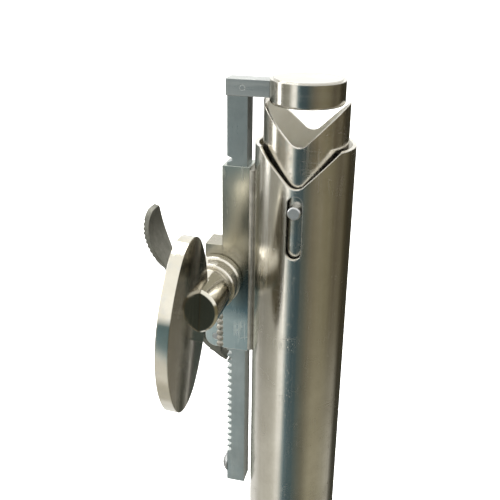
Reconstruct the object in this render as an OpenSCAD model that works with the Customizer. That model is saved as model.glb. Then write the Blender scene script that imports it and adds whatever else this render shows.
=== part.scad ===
// Rack-and-pinion tube tool: a plug on an arm is drawn down into a V-notched sleeve.
// +Z runs up the tube, the origin is at the centre of the tube's bottom end,
// the notches, the pinion shaft and the key run along Y, and the rack stands on the -X side.

/* [Outer tube] */
// Outside diameter of the outer tube
tube_d = 38; // [36:0.5:40]
// Wall thickness of the outer tube
tube_wall = 1.5; // [1.2:0.1:1.7]
// Height of the outer tube's rim above its bottom end
tube_h = 206.2; // [200:0.1:208]
// Height of the lowest point of the outer V notch
tube_notch_z = 193.2; // [192.5:0.1:196]
// Radius in the bottom of both V notches
notch_r = 4.2; // [2:0.1:6]

/* [Slot and guide pin] */
// Width of the vertical slot in the front of the tube
slot_w = 5.8; // [5.4:0.1:7]
// Height of the slot's lower end
slot_low_z = 165.8; // [164:0.1:168]
// Height of the slot's upper end
slot_high_z = 190.6; // [189:0.1:191]
// Diameter of the guide pin
pin_d = 5; // [4:0.1:5.2]
// Height of the guide pin at rest
pin_z = 184.4; // [183:0.1:187]

/* [Sleeve] */
// Outside diameter of the inner sleeve
sleeve_d = 32.2; // [31:0.1:32.6]
// Wall thickness of the inner sleeve
sleeve_wall = 1.5; // [1:0.1:1.7]
// Height of the sleeve's rim
sleeve_top_z = 222.4; // [219:0.1:222.5]
// Height of the lowest point of the sleeve's V notch
sleeve_notch_z = 207.8; // [207:0.1:210]
// Height of the sleeve's lower end
sleeve_low_z = 145; // [143:0.1:150]

/* [Sleeve spring] */
// Wire diameter of the sleeve spring
spring_wire = 2.2; // [1.6:0.1:2.6]
// Mean coil diameter of the sleeve spring
spring_mean_d = 29; // [26:0.5:30]
// Turns of the sleeve spring
spring_turns = 8; // [5:1:10]
// Height of the spring seat's upper face
seat_z = 88; // [80:1:96]

/* [Rack and plug] */
// Module of the rack and pinion
gear_module = 1; // [1:0.5:1]
// Width of the square rack bar
rack_w = 8; // [7.8:0.1:8]
// X of the tips of the rack teeth
rack_tip_x = -29.6; // [-29.6:0.1:-29.5]
// Height of the rack bar's lower end
rack_low_z = 46.4; // [44:0.1:48]
// Height of the centre of the highest tooth space at rest
rack_space_z = 198.47; // [198:0.01:199]
// Number of tooth spaces in the rack
rack_spaces = 44; // [30:1:44]
// Height of the stop screw
stop_screw_z = 53.6; // [53:0.1:54]
// Diameter of the stop screw's domed head
stop_head_d = 9.6; // [7:0.1:10]
// Height of the arm's underside
arm_z = 222.8; // [222.7:0.1:224]
// Thickness of the arm
arm_t = 6.2; // [5:0.1:7]
// Diameter of the plug
plug_d = 28; // [26:0.1:28.4]
// Height of the plug's underside
plug_z = 220.8; // [220.6:0.1:221.5]
// Thickness of the plug
plug_t = 9.4; // [9:0.1:10]

/* [Guide and housing] */
// Height of the guide channel's lower end
guide_low_z = 116.4; // [115:0.1:117]
// Height of the guide channel's upper end
guide_top_z = 196.3; // [192:0.1:197]
// Wall thickness of the guide channel and of the housing cheeks
guide_wall = 1.4; // [1.2:0.1:1.5]
// Sliding gap on each side of the rack
rack_gap = 0.1; // [0.05:0.05:0.1]
// X of the outer edge of the housing cheeks
cheek_x = -38.6; // [-39:0.1:-38.4]
// Height of the pinion axis
pinion_z = 148.9; // [148:0.1:150]
// Teeth on the pinion
pinion_teeth = 9; // [9:1:9]

/* [Key] */
// Length of the oval key plate across the shaft
key_long = 67.4; // [60:0.2:68]
// Length of the oval key plate along the shaft
key_short = 43.4; // [40:0.2:44]
// Thickness of the key plate
key_t = 4.7; // [4:0.1:5]
// Lean of the key plate about the shaft at rest
key_lean = 3.2; // [0:0.1:8]
// Diameter of the key hub
hub_d = 18.6; // [17:0.1:19]
// Diameter of the bearing flange
flange_d = 21; // [20:0.1:22]
// Diameter of the pinion shaft
shaft_d = 5; // [4:0.1:5]

/* [Pawl] */
// X of the pawl's pivot
pivot_x = -34; // [-34.2:0.1:-33.8]
// Height of the pawl's pivot
pivot_z = 121.4; // [121.2:0.1:121.6]
// Thickness of the lever's metal
lever_t = 2.2; // [1.8:0.1:2.4]
// Width of the lever's arm
lever_w = 7.6; // [6:0.1:7.8]
// Width of the thumb wing
wing_w = 17; // [14:0.5:18]

/* [Hidden] */
$fn = 96;

run_gap = 0.06;                     // radial running clearance
tube_r = tube_d / 2;
tube_bore_r = tube_r - tube_wall;
sleeve_r = sleeve_d / 2;
sleeve_bore_r = sleeve_r - sleeve_wall;

guide_ring_z = [156, 163];
collar_low_z = sleeve_low_z - 3;
collar_high_z = sleeve_low_z + 5;
seat_t = 6;
end_cap_t = 4;

pitch = PI * gear_module;
addendum = 0.9 * gear_module;
tooth_depth = 2 * gear_module;
rack_right_x = rack_tip_x + rack_w;
pinion_pitch_r = pinion_teeth * gear_module / 2;
pinion_x = rack_tip_x + addendum - pinion_pitch_r;
space_below = ceil((rack_space_z - pinion_z) / pitch);
mesh_space_z = rack_space_z - space_below * pitch;
pinion_phase = (mesh_space_z - pinion_z) / pinion_pitch_r * 180 / PI;

guide_in_x = [rack_tip_x - rack_gap, rack_right_x + rack_gap];
guide_out_x = [guide_in_x[0] - guide_wall, guide_in_x[1] + guide_wall];
guide_in_y = rack_w / 2 + rack_gap;
guide_out_y = guide_in_y + guide_wall;

cheek_top_z = 157.5;
spacer_top_z = 163.3;
bush_spigot_r = 4;
flange_y = [-guide_out_y, -9.9];
collar_y = [-9.9, -16];
collar_d = 20;
hub_back_y = -19.5;
hub_end_y = -36.9;
key_inner_y = -26.9;
key_mid_y = key_inner_y - key_short / 2;
shaft_end_y = -26.4;
leg_r = 0.35;
leg_x = 2.4;
leg_z = 9;
tip_x = rack_tip_x - 0.3;

// ---- helpers -------------------------------------------------------------

// A cylinder along Y from y = a to y = b, with an optional second radius at b
module y_cylinder(a, b, r, r_end = undef, fn = $fn) {
    low = min(a, b);
    r_low = a < b || r_end == undef ? r : r_end;
    r_high = a < b && r_end != undef ? r_end : r;
    translate([0, low, 0]) rotate([-90, 0, 0])
        cylinder(h = abs(b - a), r1 = r_low, r2 = r_high, $fn = fn);
}

// A disc along Y whose two edges are bevelled
module y_disc(a, b, r, bevel) {
    low = min(a, b);
    high = max(a, b);
    y_cylinder(low, low + bevel, r - bevel, r);
    y_cylinder(low + bevel, high - bevel, r);
    y_cylinder(high - bevel, high, r, r - bevel);
}

// A ring along Z
module z_ring(low, high, r_out, r_in) {
    difference() {
        translate([0, 0, low]) cylinder(h = high - low, r = r_out);
        translate([0, 0, low - 1]) cylinder(h = high - low + 2, r = r_in);
    }
}

// A box from its lowest to its highest corner
module box(low, high) {
    translate(low) cube(high - low);
}

// The space of a right-angled V notch with a rounded bottom, running along Y
module notch_cut(bottom_z) {
    mid_z = bottom_z + notch_r;
    side = notch_r / sqrt(2);
    reach = tube_d;
    translate([0, tube_d, 0]) rotate([90, 0, 0]) linear_extrude(height = 2 * tube_d) {
        translate([0, mid_z]) circle(r = notch_r);
        polygon([[-side, mid_z - side], [side, mid_z - side],
            [side + reach, mid_z - side + reach], [-side - reach, mid_z - side + reach]]);
    }
}

// Points along a cubic curve through the XZ plane
function bezier(a, b, c, d, n) = [for (i = [0 : n]) let (t = i / n)
    a * pow(1 - t, 3) + 3 * b * t * pow(1 - t, 2) + 3 * c * t * t * (1 - t) + d * pow(t, 3)];

// The involute function, in degrees, of a rolled length given in base radii
function involute(t) = t * 180 / PI - atan(t);

// Unit normal on the left of a path at point i
function path_normal(p, i) = let (
    q = p[min(i + 1, len(p) - 1)] - p[max(i - 1, 0)], s = q / norm(q)) [s[1], -s[0]];

// Coil of round wire about +Z, from z = 0, with flat end turns drawn close together
module coil(mean_r, wire_r, turns, height, sides = 8, steps = 28) {
    n = turns * steps;
    closing = 1.1;
    lead = 2.2 * wire_r;
    rise = function (u) u < closing ? u * lead
        : u > turns - closing ? height - 2 * wire_r - (turns - u) * lead
        : closing * lead + (u - closing) / (turns - 2 * closing)
            * (height - 2 * wire_r - 2 * closing * lead);
    ring = [for (i = [0 : n]) for (k = [0 : sides - 1])
        let (a = 360 * i / steps, b = 360 * k / sides, r = mean_r + wire_r * cos(b))
            [r * cos(a), r * sin(a), rise(i / steps) + wire_r + wire_r * sin(b)]];
    sides_faces = [for (i = [0 : n - 1]) for (k = [0 : sides - 1])
        let (m = (k + 1) % sides)
            [i * sides + k, i * sides + m, (i + 1) * sides + m, (i + 1) * sides + k]];
    first = [for (k = [sides - 1 : -1 : 0]) k];
    last = [for (k = [0 : sides - 1]) n * sides + k];
    polyhedron(ring, concat(sides_faces, [first, last]), convexity = 10);
}

// ---- tube body -----------------------------------------------------------

module outer_tube() color("silver") difference() {
    z_ring(0, tube_h, tube_r, tube_bore_r);
    notch_cut(tube_notch_z);
    hull() for (z = [slot_low_z + slot_w / 2, slot_high_z - slot_w / 2])
        translate([0, 0, z]) y_cylinder(-tube_r - 1, -tube_bore_r + 3, slot_w / 2);
}

module guide_channel() color("lightgray") difference() {
    box([guide_out_x[0], -guide_out_y, guide_low_z], [guide_out_x[1], guide_out_y, guide_top_z]);
    box([guide_in_x[0], -guide_in_y, guide_low_z - 1], [guide_in_x[1], guide_in_y, guide_top_z + 1]);
    window = 7;
    box([guide_out_x[0] - 1, -guide_in_y, pinion_z - window],
        [guide_in_x[0] + 1, guide_in_y, pinion_z + window]);
    translate([pinion_x, 0, pinion_z]) y_cylinder(-guide_out_y - 1, guide_out_y + 1, bush_spigot_r);
}

// Welds that join the guide to the tube, with a bead in each valley
module guide_welds() color("gray") difference() {
    union() {
        box([guide_out_x[1], -guide_out_y + 0.6, guide_low_z + 1],
            [-tube_r + 2, guide_out_y - 0.6, guide_top_z - 1]);
        for (side = [-1, 1]) translate([guide_out_x[1] + 0.9, side * (guide_out_y - 0.5), guide_low_z + 1])
            cylinder(h = guide_top_z - guide_low_z - 2, r = 1.2, $fn = 32);
    }
    translate([0, 0, guide_low_z]) cylinder(h = guide_top_z - guide_low_z, r = tube_r);
    box([guide_out_x[0], -guide_out_y, guide_low_z], [guide_out_x[1], guide_out_y, guide_top_z]);
}

// Outline of a cheek: a strip with a round lobe about the pawl's pivot
module cheek_shape() intersection() {
    lobe_r = pivot_x - cheek_x;
    union() {
        translate([pivot_x, pivot_z]) circle(r = lobe_r);
        translate([cheek_x, pivot_z]) square([guide_out_x[0] - cheek_x, cheek_top_z - pivot_z]);
        translate([pivot_x, pivot_z - lobe_r]) square([guide_out_x[0] - pivot_x, lobe_r]);
    }
    translate([cheek_x - 1, 0]) square([guide_out_x[0] - cheek_x + 1, tube_h]);
}

// One cheek, bored for its bush and for the pawl pin
module cheek(side) difference() {
    translate([0, side > 0 ? guide_out_y : -guide_in_y, 0]) rotate([90, 0, 0])
        linear_extrude(height = guide_wall) cheek_shape();
    translate([pinion_x, 0, pinion_z]) y_cylinder(side * 3, side * 8, bush_spigot_r);
    translate([pivot_x, 0, pivot_z]) y_cylinder(side * 3, side * 8, 1.5, fn = 48);
    if (side > 0) translate([pivot_x + leg_x, 0, pivot_z + leg_z]) y_cylinder(3, 8, leg_r, fn = 16);
}

module housing_front() color("lightgray") cheek(-1);

module housing_rear() color("lightgray") cheek(1);

module housing_spacer() color("lightgray")
    box([cheek_x + 0.4, -guide_out_y, cheek_top_z], [guide_out_x[0], guide_out_y, spacer_top_z]);

// Ripples of the weld between the front cheek and the guide
module cheek_weld() color("gray") intersection() {
    sink = 1.2;
    union() for (z = [118.2 : 2.6 : 134])
        translate([guide_out_x[0] - 1.2, -guide_out_y + sink, z]) sphere(r = 1.9, $fn = 32);
    box([guide_out_x[0] - 4, -guide_out_y - 3, guide_low_z + 0.3],
        [guide_out_x[0] + 0.6, -guide_out_y, 136]);
}

module bearing_flange() color("silver") translate([pinion_x, 0, pinion_z]) difference() {
    y_disc(flange_y[1], flange_y[0], flange_d / 2, 0.7);
    y_cylinder(flange_y[1] - 1, flange_y[0] + 1, 7);
}

module front_bush() color("silver") translate([pinion_x, 0, pinion_z]) difference() {
    union() {
        y_cylinder(collar_y[0], -guide_in_y, bush_spigot_r);
        y_cylinder(collar_y[0], flange_y[0], 7);
        y_disc(collar_y[1], collar_y[0], collar_d / 2, 0.6);
    }
    y_cylinder(collar_y[1] - 1, 0, shaft_d / 2 + run_gap);
}

module rear_bush() color("silver") translate([pinion_x, 0, pinion_z]) difference() {
    union() {
        y_cylinder(guide_in_y, guide_out_y, bush_spigot_r);
        y_disc(guide_out_y, guide_out_y + 1.6, 5.6, 0.4);
    }
    y_cylinder(0, guide_out_y + 3, shaft_d / 2 + run_gap);
}

module pawl_pin() color("gray") translate([pivot_x, 0, pivot_z])
    y_cylinder(-guide_out_y, guide_out_y, 1.5, fn = 48);

// Torsion spring round the pawl pin: one leg hooks into the rear cheek, one bears on the lever
module pawl_spring() color("gray") translate([pivot_x, 0, pivot_z]) {
    translate([0, guide_in_y - 0.1, 0]) rotate([90, 0, 0])
        coil(leg_x, leg_r, 4, 3.4, sides = 6, steps = 18);
    translate([leg_x, guide_in_y - 0.1 - leg_r, 0]) cylinder(h = leg_z, r = leg_r, $fn = 16);
    translate([leg_x, 0, leg_z]) y_cylinder(guide_in_y - 0.1 - 2 * leg_r, guide_out_y, leg_r, fn = 16);
    translate([leg_x, guide_in_y - 3.5 + leg_r, 0]) rotate([180, 0, 0])
        cylinder(h = 7, r = leg_r, $fn = 16);
}

module tube_guide_ring() color("silver")
    z_ring(guide_ring_z[0], guide_ring_z[1], tube_bore_r, sleeve_r + run_gap);

module spring_seat() color("silver") z_ring(seat_z - seat_t, seat_z, tube_bore_r, 9);

module sleeve_spring() color("dimgray") translate([0, 0, seat_z + 0.05])
    coil(spring_mean_d / 2, spring_wire / 2, spring_turns, collar_low_z - seat_z - 0.1);

module tube_end_cap() color("dimgray") cylinder(h = end_cap_t, r = tube_bore_r);

// ---- sleeve body ---------------------------------------------------------

module inner_sleeve() color("silver") difference() {
    z_ring(sleeve_low_z, sleeve_top_z, sleeve_r, sleeve_bore_r);
    notch_cut(sleeve_notch_z);
    translate([0, 0, pin_z]) y_cylinder(-sleeve_r - 1, -sleeve_bore_r + 2, pin_d / 2);
}

module sleeve_collar() color("silver") difference() {
    translate([0, 0, collar_low_z])
        cylinder(h = collar_high_z - collar_low_z, r = tube_bore_r - run_gap);
    translate([0, 0, sleeve_low_z]) cylinder(h = 10, r = sleeve_r);
    translate([0, 0, collar_low_z - 1]) cylinder(h = 10, r = 13);
}

module guide_pin() color("gray") translate([0, 0, pin_z]) {
    y_cylinder(-tube_r - 0.5, -sleeve_bore_r, pin_d / 2);
    y_cylinder(-tube_r - 0.9, -tube_r - 0.5, pin_d / 2 - 0.4, pin_d / 2);
}

// ---- rack body -----------------------------------------------------------

// Outline of the toothed bar in the XZ plane
module rack_shape() difference() {
    top_z = arm_z - 0.1;
    translate([rack_tip_x, rack_low_z]) square([rack_w, top_z - rack_low_z]);
    mouth = pitch - 0.62 * gear_module;
    root = mouth - 2 * tooth_depth * tan(20);
    for (i = [0 : rack_spaces - 1]) translate([rack_tip_x, rack_space_z - i * pitch])
        polygon([[-1, -mouth / 2 - tan(20)], [-1, mouth / 2 + tan(20)],
            [tooth_depth, root / 2], [tooth_depth, -root / 2]]);
}

tenon = [4.4, 4.4, 4.8];
tongue_y = 3;
tongue_x = -4;
screw_x = -8;
tenon_x = rack_tip_x + 5;
dowel_at = [rack_tip_x + 5.8, arm_z + 3.2];

module rack_bar() color("slategray") difference() {
    union() {
        translate([0, rack_w / 2, 0]) rotate([90, 0, 0]) linear_extrude(height = rack_w) rack_shape();
        translate([tenon_x - tenon[0] / 2, -tenon[1] / 2, arm_z - 0.4])
            cube([tenon[0], tenon[1], tenon[2] + 0.4]);
    }
    translate([dowel_at[0], 0, dowel_at[1]]) y_cylinder(-5, 5, 1, fn = 48);
    translate([rack_tip_x - 1, 0, stop_screw_z]) rotate([0, 90, 0]) cylinder(h = 7, r = 2, $fn = 48);
}

module rack_stop_screw() color("gray") translate([rack_tip_x, 0, stop_screw_z]) rotate([0, 90, 0]) {
    dome = 2.8;
    head_r = stop_head_d / 2;
    ball_r = (head_r * head_r + dome * dome) / (2 * dome);
    difference() {
        intersection() {
            translate([0, 0, ball_r - dome]) sphere(r = ball_r);
            translate([0, 0, -dome - 1]) cylinder(h = dome + 1, r = head_r);
        }
        translate([0, 0, -dome - 1]) cylinder(h = 2.2, r = 1.5, $fn = 6);
    }
    cylinder(h = 6, r = 2, $fn = 48);
}

module arm() color("lightsteelblue") difference() {
    union() {
        difference() {
            box([rack_tip_x - 0.6, -guide_in_y, arm_z], [-10, guide_in_y, arm_z + arm_t]);
            translate([0, 0, arm_z - 1]) cylinder(h = arm_t + 2, r = plug_d / 2);
        }
        box([-plug_d / 2 - 0.6, -tongue_y, arm_z + 1], [tongue_x, tongue_y, arm_z + arm_t - 1]);
    }
    translate([tenon_x - tenon[0] / 2, -tenon[1] / 2, arm_z - 1])
        cube([tenon[0], tenon[1], tenon[2] + 1]);
    translate([dowel_at[0], 0, dowel_at[1]]) y_cylinder(-6, 6, 1, fn = 48);
    translate([screw_x, 0, arm_z - 2]) cylinder(h = arm_t + 4, r = 1.5, $fn = 48);
}

module arm_dowel() color("gray") translate([dowel_at[0], 0, dowel_at[1]])
    y_cylinder(-guide_in_y, guide_in_y, 1, fn = 48);

module plug_cap() color("silver") difference() {
    edge = 1.2;
    translate([0, 0, plug_z]) {
        rotate_extrude() {
            square([plug_d / 2 - edge, plug_t]);
            translate([0, edge]) square([plug_d / 2, plug_t - edge - 0.4]);
            translate([plug_d / 2 - edge, edge]) circle(r = edge, $fn = 32);
        }
    }
    box([-plug_d / 2 - 1, -tongue_y, arm_z + 1], [tongue_x, tongue_y, arm_z + arm_t - 1]);
    translate([screw_x, 0, plug_z - 1]) cylinder(h = 5, r = 1.5, $fn = 48);
    translate([screw_x, 0, plug_z - 1]) cylinder(h = 2.2, r = 2.8, $fn = 48);
}

module plug_screw() color("gray") translate([screw_x, 0, plug_z]) difference() {
    union() {
        cylinder(h = 1.2, r = 2.8, $fn = 48);
        cylinder(h = arm_z + arm_t - 1 - plug_z, r = 1.5, $fn = 48);
    }
    translate([0, 0, -1]) cylinder(h = 1.8, r = 1.1, $fn = 6);
}

// ---- key body ------------------------------------------------------------

// Pinion outline: involute flanks, thinned for backlash, on a round root
module pinion_shape() {
    base_r = pinion_pitch_r * cos(20);
    tip_r = pinion_pitch_r + 0.8 * gear_module;
    root_r = pinion_pitch_r - 1.2 * gear_module;
    roll_tip = sqrt(pow(tip_r / base_r, 2) - 1);
    roll_pitch = sqrt(pow(pinion_pitch_r / base_r, 2) - 1);
    half = 0.4 * 180 / pinion_teeth + involute(roll_pitch);
    flank = concat([[root_r - 0.2, half - 2]],
        [for (i = [0 : 6]) let (t = roll_tip * i / 6) [base_r * sqrt(1 + t * t), half - involute(t)]]);
    circle(r = root_r);
    for (k = [0 : pinion_teeth - 1]) rotate(k * 360 / pinion_teeth) polygon(concat(
        [for (f = flank) f[0] * [cos(f[1]), -sin(f[1])]],
        [for (i = [len(flank) - 1 : -1 : 0]) flank[i][0] * [cos(flank[i][1]), sin(flank[i][1])]]));
}

module pinion() color("slategray") translate([pinion_x, 0, pinion_z]) difference() {
    translate([0, 3.9, 0]) rotate([90, 0, 0]) linear_extrude(height = 7.8)
        rotate(pinion_phase) pinion_shape();
    y_cylinder(-6, 6, shaft_d / 2);
}

module pinion_shaft() color("gray") translate([pinion_x, 0, pinion_z]) {
    y_cylinder(shaft_end_y, guide_out_y + 3, shaft_d / 2, fn = 64);
}

module shaft_clip() color("dimgray") translate([pinion_x, 0, pinion_z]) difference() {
    y_cylinder(guide_out_y + 1.7, guide_out_y + 2.5, 4.4);
    y_cylinder(guide_out_y + 1, guide_out_y + 4, shaft_d / 2);
    box([-0.9, guide_out_y + 1, -6], [0.9, guide_out_y + 4, 0]);
}

module hub_spacer() color("silver") translate([pinion_x, 0, pinion_z]) difference() {
    y_cylinder(hub_back_y, collar_y[1] - 0.1, 8.6);
    y_cylinder(hub_back_y - 1, 0, shaft_d / 2);
}

module key_hub() color("silver") translate([pinion_x, 0, pinion_z]) rotate([0, key_lean, 0])
    difference() {
        union() {
            y_cylinder(hub_end_y, hub_end_y + 0.9, hub_d / 2 - 0.9, hub_d / 2);
            y_cylinder(hub_end_y + 0.9, hub_back_y - 0.8, hub_d / 2);
            y_cylinder(hub_back_y - 0.8, hub_back_y, hub_d / 2, hub_d / 2 - 0.8);
        }
        y_cylinder(shaft_end_y, hub_back_y + 1, shaft_d / 2);
        translate([0, -23, 0]) rotate([180, 0, 0]) cylinder(h = 12, r = 2, $fn = 48);
        box([-key_t / 2, hub_end_y - 1, -hub_d], [key_t / 2, key_inner_y, hub_d]);
    }

module hub_set_screw() color("dimgray") translate([pinion_x, 0, pinion_z]) rotate([0, key_lean, 0])
    translate([0, -23, 0]) rotate([180, 0, 0]) translate([0, 0, shaft_d / 2]) difference() {
        cylinder(h = 5.6, r = 2, $fn = 48);
        translate([0, 0, 3.6]) cylinder(h = 3, r = 1.1, $fn = 6);
    }

// Outline of a four-arc oval, long along Y
module oval(long, short) {
    end_r = 0.43 * long / 2;
    end_y = long / 2 - end_r;
    side_r = (pow(end_y, 2) + pow(short / 2, 2) - end_r * end_r) / (short - 2 * end_r);
    side_x = side_r - short / 2;
    split = end_y * side_r / (side_r - end_r);
    for (s = [-1, 1]) translate([0, s * end_y]) circle(r = end_r, $fn = 128);
    intersection() {
        translate([side_x, 0]) circle(r = side_r, $fn = 256);
        translate([-side_x, 0]) circle(r = side_r, $fn = 256);
        translate([-short, -split]) square([2 * short, 2 * split]);
    }
}

module key_plate() color("silver") translate([pinion_x, key_mid_y, pinion_z])
    rotate([0, key_lean, 0]) rotate([90, 0, 90]) translate([0, 0, -key_t / 2])
        linear_extrude(height = key_t) oval(key_long, key_short);

// ---- pawl body -----------------------------------------------------------

// Side view of the lever in XZ: curled wing, straight arm, bend, and strip with a thin tip
wing = bezier([-62, 174.6], [-64.2, 167], [-61, 158.5], [-54.6, 147.6], 14);

module lever_shape() {
    path = concat(wing, [[-41.4, 120.2], [-40, 117.8], [-38.2, 115.9], [-36, 114.4], [-32.3, 111.6]]);
    half = [for (i = [0 : len(path) - 1]) lever_t / 2 * (i < len(wing) ? 1 : 0.84)];
    polygon(concat(
        [for (i = [0 : len(path) - 1]) path[i] + half[i] * path_normal(path, i)],
        [[tip_x, 109.4], [tip_x, 110.15]],
        [for (i = [len(path) - 1 : -1 : 0]) path[i] - half[i] * path_normal(path, i)]));
}

// Outline of the wing, seen square on, long along X
module wing_outline() polygon([for (a = [4.5 : 9 : 360]) [12.3 * cos(a), wing_w / 2 * sin(a)]]);

module pawl_lever() color("gray") difference() {
    boss_r = 2.5;
    union() {
        intersection() {
            translate([0, wing_w / 2 + 1, 0]) rotate([90, 0, 0])
                linear_extrude(height = wing_w + 2) lever_shape();
            union() {
                box([-68, -lever_w / 2, 100], [-22, lever_w / 2, 158]);
                translate([-60.5, 0, 162.2]) rotate([0, -72, 0]) translate([0, 0, -9])
                    linear_extrude(height = 18) wing_outline();
            }
        }
        translate([pivot_x, 0, pivot_z]) y_cylinder(-lever_w / 2, 0, boss_r, fn = 64);
        rotate([90, 0, 0]) linear_extrude(height = lever_w / 2)
            polygon([[pivot_x - boss_r + 0.3, pivot_z], [pivot_x + boss_r - 0.3, pivot_z],
                [pivot_x + 1.4, 112.3], [pivot_x - 3.4, 113.6]]);
    }
    translate([pivot_x, 0, pivot_z]) y_cylinder(-6, 6, 1.5 + run_gap, fn = 64);
    for (i = [2 : 10]) let (q = (wing[i] + wing[i + 1]) / 2 + (lever_t / 2 + 0.25) * path_normal(wing, i))
        translate([q[0], 0, q[1]]) y_cylinder(-wing_w, wing_w, 0.6, fn = 24);
}

outer_tube();
guide_channel();
guide_welds();
housing_front();
housing_rear();
housing_spacer();
cheek_weld();
bearing_flange();
front_bush();
rear_bush();
pawl_pin();
pawl_spring();
tube_guide_ring();
spring_seat();
sleeve_spring();
tube_end_cap();
inner_sleeve();
sleeve_collar();
guide_pin();
rack_bar();
rack_stop_screw();
arm();
arm_dowel();
plug_cap();
plug_screw();
pinion();
pinion_shaft();
shaft_clip();
hub_spacer();
key_hub();
hub_set_screw();
key_plate();
pawl_lever();
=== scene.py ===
"""Looks, lights and camera for the rack-and-pinion tube tool. Units are metres."""

import math

import bpy
from mathutils import Matrix, Vector


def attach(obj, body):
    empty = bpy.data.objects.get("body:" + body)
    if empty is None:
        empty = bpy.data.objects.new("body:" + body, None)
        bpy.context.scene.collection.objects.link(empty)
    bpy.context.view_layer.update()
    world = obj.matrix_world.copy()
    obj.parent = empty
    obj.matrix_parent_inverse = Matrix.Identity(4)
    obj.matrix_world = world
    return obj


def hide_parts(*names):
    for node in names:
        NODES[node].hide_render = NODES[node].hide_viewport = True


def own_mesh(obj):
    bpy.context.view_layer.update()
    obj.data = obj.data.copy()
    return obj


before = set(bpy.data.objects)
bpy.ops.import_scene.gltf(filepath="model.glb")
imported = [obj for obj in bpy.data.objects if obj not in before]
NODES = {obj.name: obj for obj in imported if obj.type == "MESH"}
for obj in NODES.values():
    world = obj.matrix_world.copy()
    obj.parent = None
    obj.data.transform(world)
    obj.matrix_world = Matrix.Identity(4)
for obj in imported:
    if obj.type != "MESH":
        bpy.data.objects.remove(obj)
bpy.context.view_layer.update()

MM = 0.001

# The camera: its place in mm, then its heading, downward tilt and roll
CAMERA_AT = Vector((45.27, -266.01, 273.67))
HEADING, DOWN, ROLL = math.radians(14.0), math.radians(22.5), math.radians(0.74)
SENSOR = 36.0
# Focal length as a share of the sensor's width
FOCAL_SHARE = 1.4636


# ---- material helpers -----------------------------------------------------


class Graph:
    """A small helper that adds and joins nodes of one material."""

    def __init__(self, name):
        self.material = bpy.data.materials.new(name)
        self.material.use_nodes = True
        self.tree = self.material.node_tree
        self.tree.nodes.clear()
        self.out = self.tree.nodes.new("ShaderNodeOutputMaterial")
        self.shader = self.tree.nodes.new("ShaderNodeBsdfPrincipled")
        self.link(self.shader.outputs["BSDF"], self.out.inputs["Surface"])
        places = self.tree.nodes.new("ShaderNodeTexCoord")
        self.coords = places.outputs["Object"]
        self.normals = places.outputs["Normal"]

    def link(self, source, target):
        self.tree.links.new(source, target)

    def put(self, target, value):
        if isinstance(value, bpy.types.NodeSocket):
            self.link(value, target)
        else:
            target.default_value = value

    def mapped(self, scale, turn=(0, 0, 0)):
        node = self.tree.nodes.new("ShaderNodeMapping")
        self.link(self.coords, node.inputs["Vector"])
        node.inputs["Scale"].default_value = scale
        node.inputs["Rotation"].default_value = turn
        return node.outputs["Vector"]

    def noise(self, scale, detail=4.0, rough=0.55, stretch=(1, 1, 1), distort=0.0, turn=(0, 0, 0)):
        node = self.tree.nodes.new("ShaderNodeTexNoise")
        self.link(self.mapped(stretch, turn), node.inputs["Vector"])
        node.inputs["Scale"].default_value = scale
        node.inputs["Detail"].default_value = detail
        node.inputs["Roughness"].default_value = rough
        node.inputs["Distortion"].default_value = distort
        return node.outputs["Fac"]

    def cells(self, scale):
        node = self.tree.nodes.new("ShaderNodeTexVoronoi")
        self.link(self.mapped((1, 1, 1)), node.inputs["Vector"])
        node.inputs["Scale"].default_value = scale
        return node.outputs["Distance"]

    def ramp(self, value, stops):
        """stops: (position, value or colour) pairs; a single value gives a grey."""
        node = self.tree.nodes.new("ShaderNodeValToRGB")
        self.link(value, node.inputs["Fac"])
        elements = node.color_ramp.elements
        while len(elements) < len(stops):
            elements.new(0.5)
        for element, (place, colour) in zip(elements, stops):
            element.position = place
            grey = not isinstance(colour, tuple)
            element.color = (colour, colour, colour, 1) if grey else (*colour, 1)
        return node.outputs["Color"]

    def math(self, kind, a, b=0.0, c=None, clamp=False):
        node = self.tree.nodes.new("ShaderNodeMath")
        node.operation = kind
        node.use_clamp = clamp
        self.put(node.inputs[0], a)
        self.put(node.inputs[1], b)
        if c is not None:
            self.put(node.inputs[2], c)
        return node.outputs[0]

    def mix(self, factor, a, b, kind="MIX"):
        node = self.tree.nodes.new("ShaderNodeMix")
        node.data_type = "RGBA"
        node.blend_type = kind
        self.put(node.inputs[0], factor)
        self.put(node.inputs[6], a if isinstance(a, bpy.types.NodeSocket) else (*a, 1))
        self.put(node.inputs[7], b if isinstance(b, bpy.types.NodeSocket) else (*b, 1))
        return node.outputs[2]

    def bump(self, height, strength, distance, base=None):
        node = self.tree.nodes.new("ShaderNodeBump")
        node.inputs["Strength"].default_value = strength
        node.inputs["Distance"].default_value = distance
        self.link(height, node.inputs["Height"])
        if base is not None:
            self.link(base, node.inputs["Normal"])
        return node.outputs["Normal"]

    def rounded(self, radius):
        """A normal that rounds every sharp edge by radius."""
        node = self.tree.nodes.new("ShaderNodeBevel")
        node.samples = 4
        node.inputs["Radius"].default_value = radius
        return node.outputs["Normal"]

    def edge_wear_and_highlight(self):
        """1 on convex edges and 0 elsewhere."""
        node = self.tree.nodes.new("ShaderNodeNewGeometry")
        return self.ramp(node.outputs["Pointiness"], [(0.51, 0.0), (0.56, 1.0)])


def colour_by_height(g, stops):
    """A colour by height above the tube's foot: (height in mm, colour) pairs; on the guide it is a
    painted reflection.
    """
    low, high = stops[0][0], stops[-1][0]
    split = g.tree.nodes.new("ShaderNodeSeparateXYZ")
    g.link(g.coords, split.inputs[0])
    wander = g.math("MULTIPLY_ADD", g.noise(55.0, detail=4.0), 0.006, split.outputs["Z"])
    span = (high - low) * MM
    share = g.math("MULTIPLY_ADD", wander, 1 / span, -(low * MM + 0.003) / span, clamp=True)
    return g.ramp(share, [((h - low) / (high - low), colour) for h, colour in stops])


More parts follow.
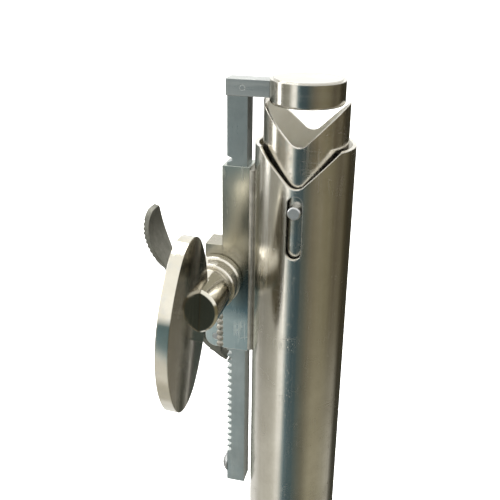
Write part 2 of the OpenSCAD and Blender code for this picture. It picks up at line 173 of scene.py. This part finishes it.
def side_shade_mask(g):
    """1 on faces that look along X and 0 on the others."""
    facing = g.tree.nodes.new("ShaderNodeSeparateXYZ")
    g.link(g.normals, facing.inputs[0])
    return g.ramp(g.math("ABSOLUTE", facing.outputs["X"]), [(0.75, 0.0), (0.95, 1.0)])


def bore_mask(g, radius):
    """1 on the wall inside radius mm of the tube's axis and 0 outside it."""
    flat = g.mapped((1, 1, 0))
    length = g.tree.nodes.new("ShaderNodeVectorMath")
    length.operation = "LENGTH"
    g.link(flat, length.inputs[0])
    node = g.tree.nodes.new("ShaderNodeMapRange")
    node.inputs["From Min"].default_value = (radius + 0.25) * MM
    node.inputs["From Max"].default_value = (radius + 0.05) * MM
    g.link(length.outputs["Value"], node.inputs["Value"])
    return node.outputs["Result"]


def scratches(g, scale, stretch, width=0.03, turn=(0, 0, 0)):
    """Thin random lines, long along the axis with the smallest stretch."""
    lines = g.noise(scale, detail=2.0, rough=0.4, stretch=stretch, distort=0.2, turn=turn)
    away = g.math("ABSOLUTE", g.math("SUBTRACT", lines, 0.5))
    return g.ramp(away, [(0.0, 1.0), (width, 0.0)])


def steel(name, base, dark, rough, rough_spread, grain=(1, 1, 0.02), grain_scale=900.0,
          grain_bump=0.02, bevel=0.25, blotch=35.0, pits=0.0, scratch=0.35, wear_and_highlight=0.06,
          wear_and_highlight_colour=(0.9, 0.89, 0.86), stain=None, stain_share=0.0, height_colours=None, bore=None,
          side_shade=None):
    """Worn steel: brushed grain, blotches, scratches, pits and bright edges, which are partly wear
    and partly painted highlight.

    The colour by height is a painted reflection on the guide; the bore radius in mm marks where
    the wall is painted pale, as painted light for its lit inside; and the side colour is painted
    shade that darkens the faces that look along X.
    """
    g = Graph(name)
    clouds = g.noise(blotch, detail=6.0, rough=0.62)
    colour = g.mix(g.ramp(clouds, [(0.35, 0.0), (0.68, 1.0)]), base, dark)
    if stain is not None:
        patch = g.noise(blotch * 2.3, detail=5.0, rough=0.7, distort=0.6)
        share = g.math("MULTIPLY", g.ramp(patch, [(0.52, 0.0), (0.7, 1.0)]), stain_share)
        colour = g.mix(share, colour, stain)
    # Colour by height; on the guide this paints a reflection
    if height_colours is not None:
        colour = g.mix(1.0, colour, colour_by_height(g, height_colours), "MULTIPLY")
    # Painted shade: the faces that look along X are darkened
    if side_shade is not None:
        colour = g.mix(side_shade_mask(g), colour, side_shade, "MULTIPLY")
    lines = g.noise(grain_scale, detail=3.0, rough=0.6, stretch=grain)
    streaks = g.ramp(lines, [(0.3, 0.0), (0.7, 1.0)])
    long_marks = scratches(g, 260.0, (1.0, 1.0, 0.06))
    cross_marks = scratches(g, 140.0, (0.25, 0.25, 1.0), 0.012, (0.5, 0.35, 0.2))
    marks = g.math("MAXIMUM", long_marks, cross_marks)
    broken = g.ramp(g.noise(60.0, detail=3.0), [(0.5, 0.0), (0.62, 1.0)])
    marks = g.math("MULTIPLY", marks, broken)
    # Bright convex edges: partly real wear, partly painted highlight
    edges = g.edge_wear_and_highlight()
    colour = g.mix(g.math("MULTIPLY", edges, wear_and_highlight), colour, wear_and_highlight_colour)
    roughness = g.math("MULTIPLY_ADD", streaks, rough_spread, rough)
    roughness = g.math("MULTIPLY_ADD", clouds, rough_spread * 0.8, roughness)
    roughness = g.math("MULTIPLY_ADD", marks, 0.12, roughness, clamp=True)
    if bore is None:
        g.shader.inputs["Metallic"].default_value = 1.0
    else:
        # Painted light: inside the bore the wall is painted pale cream and made less metallic,
        # standing for the lit inner wall
        inside = bore_mask(g, bore)
        pale, dull = (0.93, 0.91, 0.83), (0.84, 0.81, 0.72)
        painted_bore_light = g.mix(g.ramp(clouds, [(0.3, 0.0), (0.7, 1.0)]), pale, dull)
        colour = g.mix(inside, colour, painted_bore_light)
        roughness = g.math("MULTIPLY_ADD", inside, 0.3, roughness, clamp=True)
        g.link(g.math("MULTIPLY_ADD", inside, -0.75, 1.0), g.shader.inputs["Metallic"])
    g.link(colour, g.shader.inputs["Base Color"])
    g.link(roughness, g.shader.inputs["Roughness"])
    normal = g.rounded(bevel * MM)
    normal = g.bump(lines, grain_bump, 0.0002, normal)
    normal = g.bump(marks, scratch, 0.00002, normal)
    if pits:
        holes = g.ramp(g.cells(900.0), [(0.0, 0.0), (0.28, 1.0)])
        rare = g.ramp(g.noise(240.0, detail=2.0), [(0.56, 1.0), (0.66, 0.0)])
        normal = g.bump(g.math("MAXIMUM", holes, rare), pits, 0.00006, normal)
    g.link(normal, g.shader.inputs["Normal"])
    return g.material


def plastic(name, colour):
    g = Graph(name)
    speckle = g.noise(2600.0, detail=3.0)
    tone = g.mix(g.ramp(g.noise(40.0), [(0.3, 0.0), (0.7, 1.0)]), colour,
                 tuple(c * 1.6 + 0.01 for c in colour))
    g.link(tone, g.shader.inputs["Base Color"])
    g.link(g.math("MULTIPLY_ADD", speckle, 0.2, 0.45), g.shader.inputs["Roughness"])
    g.link(g.bump(speckle, 0.25, 0.00005, g.rounded(0.4 * MM)), g.shader.inputs["Normal"])
    return g.material


ALONG_Z = (1, 1, 0.02)
EVEN = (1, 1, 1)

# Radius of the sleeve's bore, in mm, read from the sleeve itself
sleeve_mesh = NODES["inner_sleeve"].data
SLEEVE_BORE = min(math.hypot(v.co.x, v.co.y) for v in sleeve_mesh.vertices) / MM

tube_steel = steel("tube_steel", (0.7, 0.68, 0.625), (0.58, 0.555, 0.495), 0.12, 0.1,
                   grain=ALONG_Z, grain_bump=0.05, pits=0.8, bevel=0.55, blotch=60.0)
sleeve_steel = steel("sleeve_steel", (0.67, 0.64, 0.58), (0.5, 0.46, 0.39), 0.1, 0.12,
                     grain=ALONG_Z, grain_bump=0.05, pits=0.6, bevel=0.45, blotch=120.0,
                     stain=(0.34, 0.4, 0.4), stain_share=0.45, bore=SLEEVE_BORE)
plug_steel = steel("plug_steel", (0.6, 0.585, 0.54), (0.5, 0.48, 0.43), 0.11, 0.08,
                   grain=(0.05, 0.05, 1), grain_bump=0.03, bevel=0.5, pits=0.3)
# Painted reflection on the guide, by height: pale low down, a dark bluish band at about 136 to 146
# mm, beige above
GUIDE_PAINTED_REFLECTION = [
    (108, (0.92, 0.97, 0.96)), (130, (0.95, 1.0, 0.99)), (136, (0.28, 0.4, 0.45)),
    (146, (0.14, 0.2, 0.21)), (156, (0.34, 0.32, 0.26)), (176, (0.36, 0.345, 0.285)),
    (190, (0.44, 0.425, 0.365)), (197, (0.4, 0.435, 0.41)),
]
guide_steel = steel("guide_steel", (0.95, 0.95, 0.92), (0.78, 0.78, 0.75), 0.2, 0.04,
                    grain=ALONG_Z, grain_bump=0.004, bevel=0.4, blotch=42.0, height_colours=GUIDE_PAINTED_REFLECTION)
RACK_TINT = [
    (40, (1.0, 1.04, 1.02)), (110, (1.0, 1.04, 1.02)), (150, (0.5, 0.55, 0.55)),
    (230, (0.42, 0.47, 0.47)),
]
rack_steel = steel("rack_steel", (0.62, 0.64, 0.64), (0.48, 0.5, 0.5), 0.24, 0.12, height_colours=RACK_TINT,
                   grain=EVEN, grain_scale=1400.0, grain_bump=0.16, bevel=0.3, blotch=80.0)
arm_steel = steel("arm_steel", (0.42, 0.44, 0.43), (0.33, 0.35, 0.345), 0.2, 0.14,
                  grain=(0.03, 1, 1), grain_bump=0.08, bevel=0.4, blotch=90.0)
# The key's faces that look along X get a painted shade
key_steel = steel("key_steel", (0.64, 0.61, 0.53), (0.52, 0.49, 0.41), 0.03, 0.05,
                  side_shade=(0.42, 0.4, 0.36), grain=(0.3, 1, 0.1), grain_scale=500.0,
                  grain_bump=0.01, bevel=0.6, blotch=55.0,
                  stain=(0.42, 0.45, 0.5), stain_share=0.3)
turned_steel = steel("turned_steel", (0.66, 0.635, 0.57), (0.54, 0.51, 0.44), 0.13, 0.1,
                     grain=(0.04, 1, 0.04), grain_bump=0.06, bevel=0.5)
lever_steel = steel("lever_steel", (0.17, 0.165, 0.13), (0.08, 0.08, 0.055), 0.34, 0.2,
                    grain=EVEN, grain_scale=1900.0, grain_bump=0.5, bevel=0.35, blotch=190.0,
                    pits=0.8, wear_and_highlight=0.12)
weld_steel = steel("weld_steel", (0.52, 0.5, 0.45), (0.36, 0.34, 0.3), 0.3, 0.22,
                   grain=EVEN, grain_scale=1500.0, grain_bump=0.7, bevel=0.4, blotch=260.0,
                   pits=0.8)
small_steel = steel("small_steel", (0.52, 0.53, 0.53), (0.4, 0.41, 0.42), 0.28, 0.16,
                    grain=EVEN, grain_scale=1400.0, grain_bump=0.12, bevel=0.3, blotch=180.0)
spring_steel = steel("spring_steel", (0.42, 0.42, 0.43), (0.3, 0.3, 0.31), 0.32, 0.14,
                     grain=EVEN, grain_scale=1400.0, grain_bump=0.1, bevel=0.1)
cap_plastic = plastic("cap_plastic", (0.03, 0.03, 0.032))

LOOKS = {
    tube_steel: ["outer_tube"],
    sleeve_steel: ["inner_sleeve"],
    plug_steel: ["plug_cap"],
    guide_steel: ["guide_channel", "housing_front", "housing_rear", "housing_spacer"],
    rack_steel: ["rack_bar", "pinion"],
    arm_steel: ["arm", "arm_dowel"],
    key_steel: ["key_plate", "key_hub"],
    turned_steel: ["bearing_flange", "front_bush", "rear_bush", "tube_guide_ring", "spring_seat",
                   "sleeve_collar", "hub_spacer"],
    lever_steel: ["pawl_lever"],
    weld_steel: ["guide_welds", "cheek_weld"],
    small_steel: ["pawl_pin", "guide_pin", "rack_stop_screw", "plug_screw",
                  "pinion_shaft", "hub_set_screw"],
    spring_steel: ["pawl_spring", "sleeve_spring", "shaft_clip"],
    cap_plastic: ["tube_end_cap"],
}
for material, names in LOOKS.items():
    for name in names:
        data = NODES[name].data
        data.materials.clear()
        data.materials.append(material)


# ---- the sleeve's spring: a copy with a mesh of its own, on the tube; the real spring gets shorter as the sleeve slides down ------

spring = NODES["sleeve_spring"]
coil = bpy.data.objects.new("sleeve_spring_coil", spring.data.copy())
coil.matrix_world = spring.matrix_world.copy()
bpy.context.scene.collection.objects.link(coil)
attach(coil, "tube")
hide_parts("sleeve_spring")
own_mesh(coil)


# ---- stage ----------------------------------------------------------------


def plane(name, size, place, turn=(0, 0, 0)):
    mesh = bpy.data.meshes.new(name)
    h = size / 2
    mesh.from_pydata([(-h, -h, 0), (h, -h, 0), (h, h, 0), (-h, h, 0)], [], [(0, 1, 2, 3)])
    obj = bpy.data.objects.new(name, mesh)
    obj.location = place
    obj.rotation_euler = turn
    bpy.context.scene.collection.objects.link(obj)
    return obj


floor = plane("floor", 30.0, (0, 0, 0))
g = Graph("floor_paint")
g.shader.inputs["Roughness"].default_value = 0.9
g.shader.inputs["Specular IOR Level"].default_value = 0.1
tone = g.ramp(g.noise(3.0, detail=3.0), [(0.3, (0.95, 0.95, 0.945)), (0.7, (0.965, 0.965, 0.96))])
g.link(tone, g.shader.inputs["Base Color"])
g.shader.inputs["Emission Color"].default_value = (1, 1, 0.995, 1)
g.shader.inputs["Emission Strength"].default_value = 0.75
paint = g.material
floor.data.materials.append(paint)
floor.visible_glossy = False

# ---- world: a pale room with dark and warm panels that the steel reflects ----

world = bpy.data.worlds.new("studio")
bpy.context.scene.world = world
world.use_nodes = True
tree = world.node_tree
tree.nodes.clear()

coords = tree.nodes.new("ShaderNodeTexCoord").outputs["Generated"]
split = tree.nodes.new("ShaderNodeSeparateXYZ")
tree.links.new(coords, split.inputs[0])
angle = tree.nodes.new("ShaderNodeMath")
angle.operation = "ARCTAN2"
tree.links.new(split.outputs["Y"], angle.inputs[0])
tree.links.new(split.outputs["X"], angle.inputs[1])
share = tree.nodes.new("ShaderNodeMath")
share.operation = "MULTIPLY_ADD"
share.inputs[1].default_value = 1 / (2 * math.pi)
share.inputs[2].default_value = 0.5
tree.links.new(angle.outputs[0], share.inputs[0])

# Direction to the camera from the tube, as an azimuth in degrees
CAMERA_AZIMUTH = math.degrees(math.atan2(CAMERA_AT.y, CAMERA_AT.x))


def at(offset):
    """Ramp position of the direction that lies offset degrees right of the camera."""
    return ((CAMERA_AZIMUTH + offset) / 360 + 0.5) % 1.0


# (degrees right of the camera, colour) going round the horizon
ROOM = [
    (-178, (1.0, 1.0, 0.98)), (-150, (1.0, 1.0, 0.98)), (-128, (0.9, 0.89, 0.85)),
    (-112, (0.3, 0.29, 0.25)), (-96, (0.28, 0.275, 0.24)), (-78, (0.34, 0.33, 0.28)),
    (-56, (0.42, 0.41, 0.35)), (-44, (1.5, 1.48, 1.4)), (-34, (1.5, 1.48, 1.4)),
    (-30, (0.2, 0.3, 0.33)), (-20, (0.06, 0.1, 0.115)), (-4, (0.05, 0.085, 0.1)),
    (8, (0.11, 0.125, 0.105)), (24, (0.2, 0.175, 0.12)), (44, (0.26, 0.23, 0.15)),
    (66, (0.22, 0.195, 0.12)), (86, (0.12, 0.1, 0.065)), (104, (0.16, 0.14, 0.09)),
    (118, (0.05, 0.04, 0.02)), (134, (0.045, 0.04, 0.025)), (162, (0.045, 0.04, 0.025)),
    (170, (1.0, 1.0, 0.98)),
]
# The same below the room's middle, where the steel sees a pale table
TABLE = [
    (-178, (1.0, 1.0, 0.98)), (-120, (0.95, 0.94, 0.9)), (-100, (0.62, 0.6, 0.54)),
    (-76, (0.68, 0.66, 0.59)), (-56, (0.72, 0.7, 0.62)), (-44, (1.0, 0.98, 0.92)),
    (-34, (0.9, 0.88, 0.82)), (-30, (0.2, 0.3, 0.33)), (-20, (0.08, 0.13, 0.15)),
    (-4, (0.09, 0.14, 0.15)), (8, (0.14, 0.16, 0.14)), (24, (0.2, 0.19, 0.14)),
    (44, (0.42, 0.39, 0.28)), (66, (0.4, 0.37, 0.27)), (86, (0.42, 0.4, 0.31)),
    (108, (0.55, 0.53, 0.46)), (124, (0.05, 0.048, 0.035)), (162, (0.045, 0.045, 0.035)),
    (170, (1.0, 1.0, 0.98)),
]


def panels(colours):
    """The colours round the horizon, as one ramp over the azimuth."""
    node = tree.nodes.new("ShaderNodeValToRGB")
    stops = sorted((at(a), colour) for a, colour in colours)
    elements = node.color_ramp.elements
    while len(elements) < len(stops):
        elements.new(0.5)
    for element, (place, colour) in zip(elements, stops):
        element.position = place
        element.color = (*colour, 1)
    tree.links.new(share.outputs[0], node.inputs["Fac"])
    return node.outputs["Color"]


def by_height(value, low, high):
    """0 below elevation low and 1 above elevation high, in degrees."""
    node = tree.nodes.new("ShaderNodeMapRange")
    node.inputs["From Min"].default_value = math.sin(math.radians(low))
    node.inputs["From Max"].default_value = math.sin(math.radians(high))
    tree.links.new(value, node.inputs["Value"])
    return node.outputs["Result"]


def mixed(share_above, below, above):
    node = tree.nodes.new("ShaderNodeMix")
    node.data_type = "RGBA"
    tree.links.new(share_above, node.inputs[0])
    tree.links.new(below, node.inputs[6])
    if isinstance(above, bpy.types.NodeSocket):
        tree.links.new(above, node.inputs[7])
    else:
        node.inputs[7].default_value = (*above, 1)
    return node.outputs[2]


walls = mixed(by_height(split.outputs["Z"], -38, -28), panels(TABLE), panels(ROOM))
# Above the room's walls the sky is bright
sky = mixed(by_height(split.outputs["Z"], -2, 6), walls, (1.45, 1.45, 1.41))
background = tree.nodes.new("ShaderNodeBackground")
tree.links.new(sky, background.inputs["Color"])
out = tree.nodes.new("ShaderNodeOutputWorld")
tree.links.new(background.outputs[0], out.inputs["Surface"])

# Pale backdrops all round, seen by the camera and not by the steel
BACKDROP_FAR = 9.0
for i in range(4):
    turn = math.radians(90 * i)
    away = (-BACKDROP_FAR * math.sin(turn), BACKDROP_FAR * math.cos(turn), 0)
    backdrop = plane(f"backdrop_{i}", 40.0, away, (math.radians(90), 0, turn))
    backdrop.data.materials.append(paint)
    backdrop.visible_glossy = False
    backdrop.visible_diffuse = False
    backdrop.visible_shadow = False


# ---- lights ---------------------------------------------------------------


def area_light(name, place, target, size, power, colour):
    data = bpy.data.lights.new(name, "AREA")
    data.shape = "RECTANGLE"
    data.size, data.size_y = size
    data.energy = power
    data.color = colour
    obj = bpy.data.objects.new(name, data)
    obj.location = place
    obj.rotation_mode = "QUATERNION"
    obj.rotation_quaternion = (Vector(target) - Vector(place)).to_track_quat("-Z", "Y")
    bpy.context.scene.collection.objects.link(obj)
    return obj


CENTRE = (-0.01, 0, 0.13)
area_light("key_light", (-0.35, 0.25, 0.95), CENTRE, (0.6, 0.6), 5.0, (1, 0.995, 0.98))
area_light("left_light", (-0.9, -0.1, 0.35), CENTRE, (0.2, 0.9), 2.0, (1, 1, 0.99))

# ---- camera ---------------------------------------------------------------

level = Vector((math.cos(HEADING), math.sin(HEADING), 0))
forward = Vector((-math.sin(HEADING), math.cos(HEADING), 0)) * math.cos(DOWN)
forward.z = -math.sin(DOWN)
upright = level.cross(forward)
right = level * math.cos(ROLL) + upright * math.sin(ROLL)
up = upright * math.cos(ROLL) - level * math.sin(ROLL)
camera_data = bpy.data.cameras.new("camera")
camera_data.sensor_width = SENSOR
camera_data.lens = FOCAL_SHARE * SENSOR
camera_data.clip_start = 0.01
camera_data.clip_end = 100.0
camera = bpy.data.objects.new("camera", camera_data)
place = Matrix((right, up, -forward)).transposed().to_4x4()
place.translation = CAMERA_AT * MM
camera.matrix_world = place
bpy.context.scene.collection.objects.link(camera)
bpy.context.scene.camera = camera
bpy.context.scene.view_settings.view_transform = "Standard"
bpy.context.scene.view_settings.look = "None"
